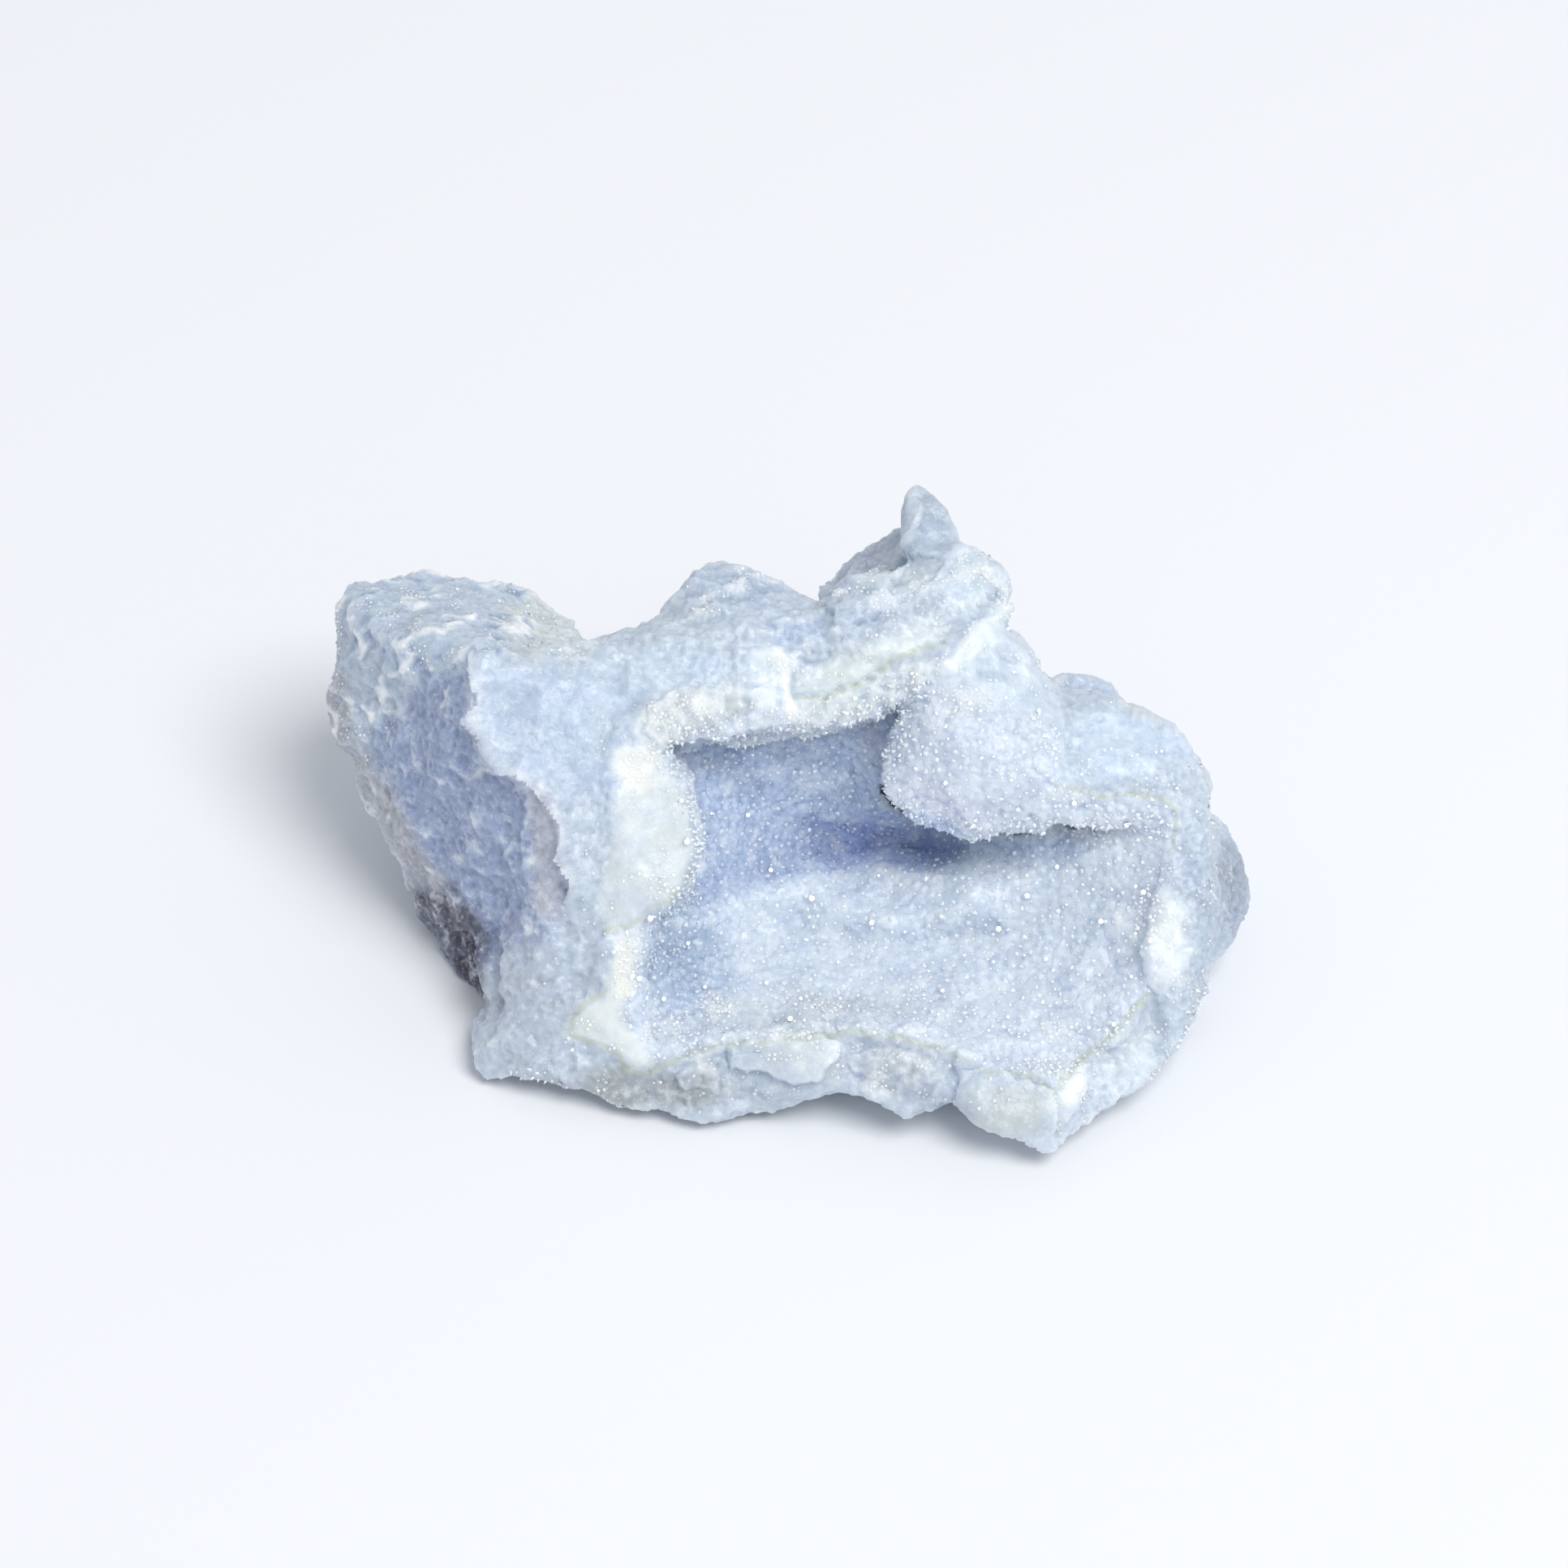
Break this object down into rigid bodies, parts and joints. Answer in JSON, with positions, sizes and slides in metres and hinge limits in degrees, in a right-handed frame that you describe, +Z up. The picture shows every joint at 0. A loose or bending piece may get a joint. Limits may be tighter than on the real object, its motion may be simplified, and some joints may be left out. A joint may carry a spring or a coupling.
{
  "type": "blue chalcedony specimen",
  "caption": "Broken piece of pale blue chalcedony with an open hollow lined by a crust of fine quartz crystals, lying on a flat spot of its back.",
  "frame": {"origin": "on the ground, below the middle of the stone's bounding box", "axes": "+X to the right along the stone's length, +Z up, and the broken face with the hollow looks towards -Y and +Z"},
  "size_m": [0.066, 0.0488, 0.0282],
  "materials": {
    "chalcedony": "broken chalcedony, translucent and waxy, with frosted chips along its edges",
    "druse": "crust of fine clear quartz crystals that sparkles"
  },
  "bodies": {
    "root": {"chalcedony": "chalcedony", "druse": "druse"}
  },
  "joints": []
}
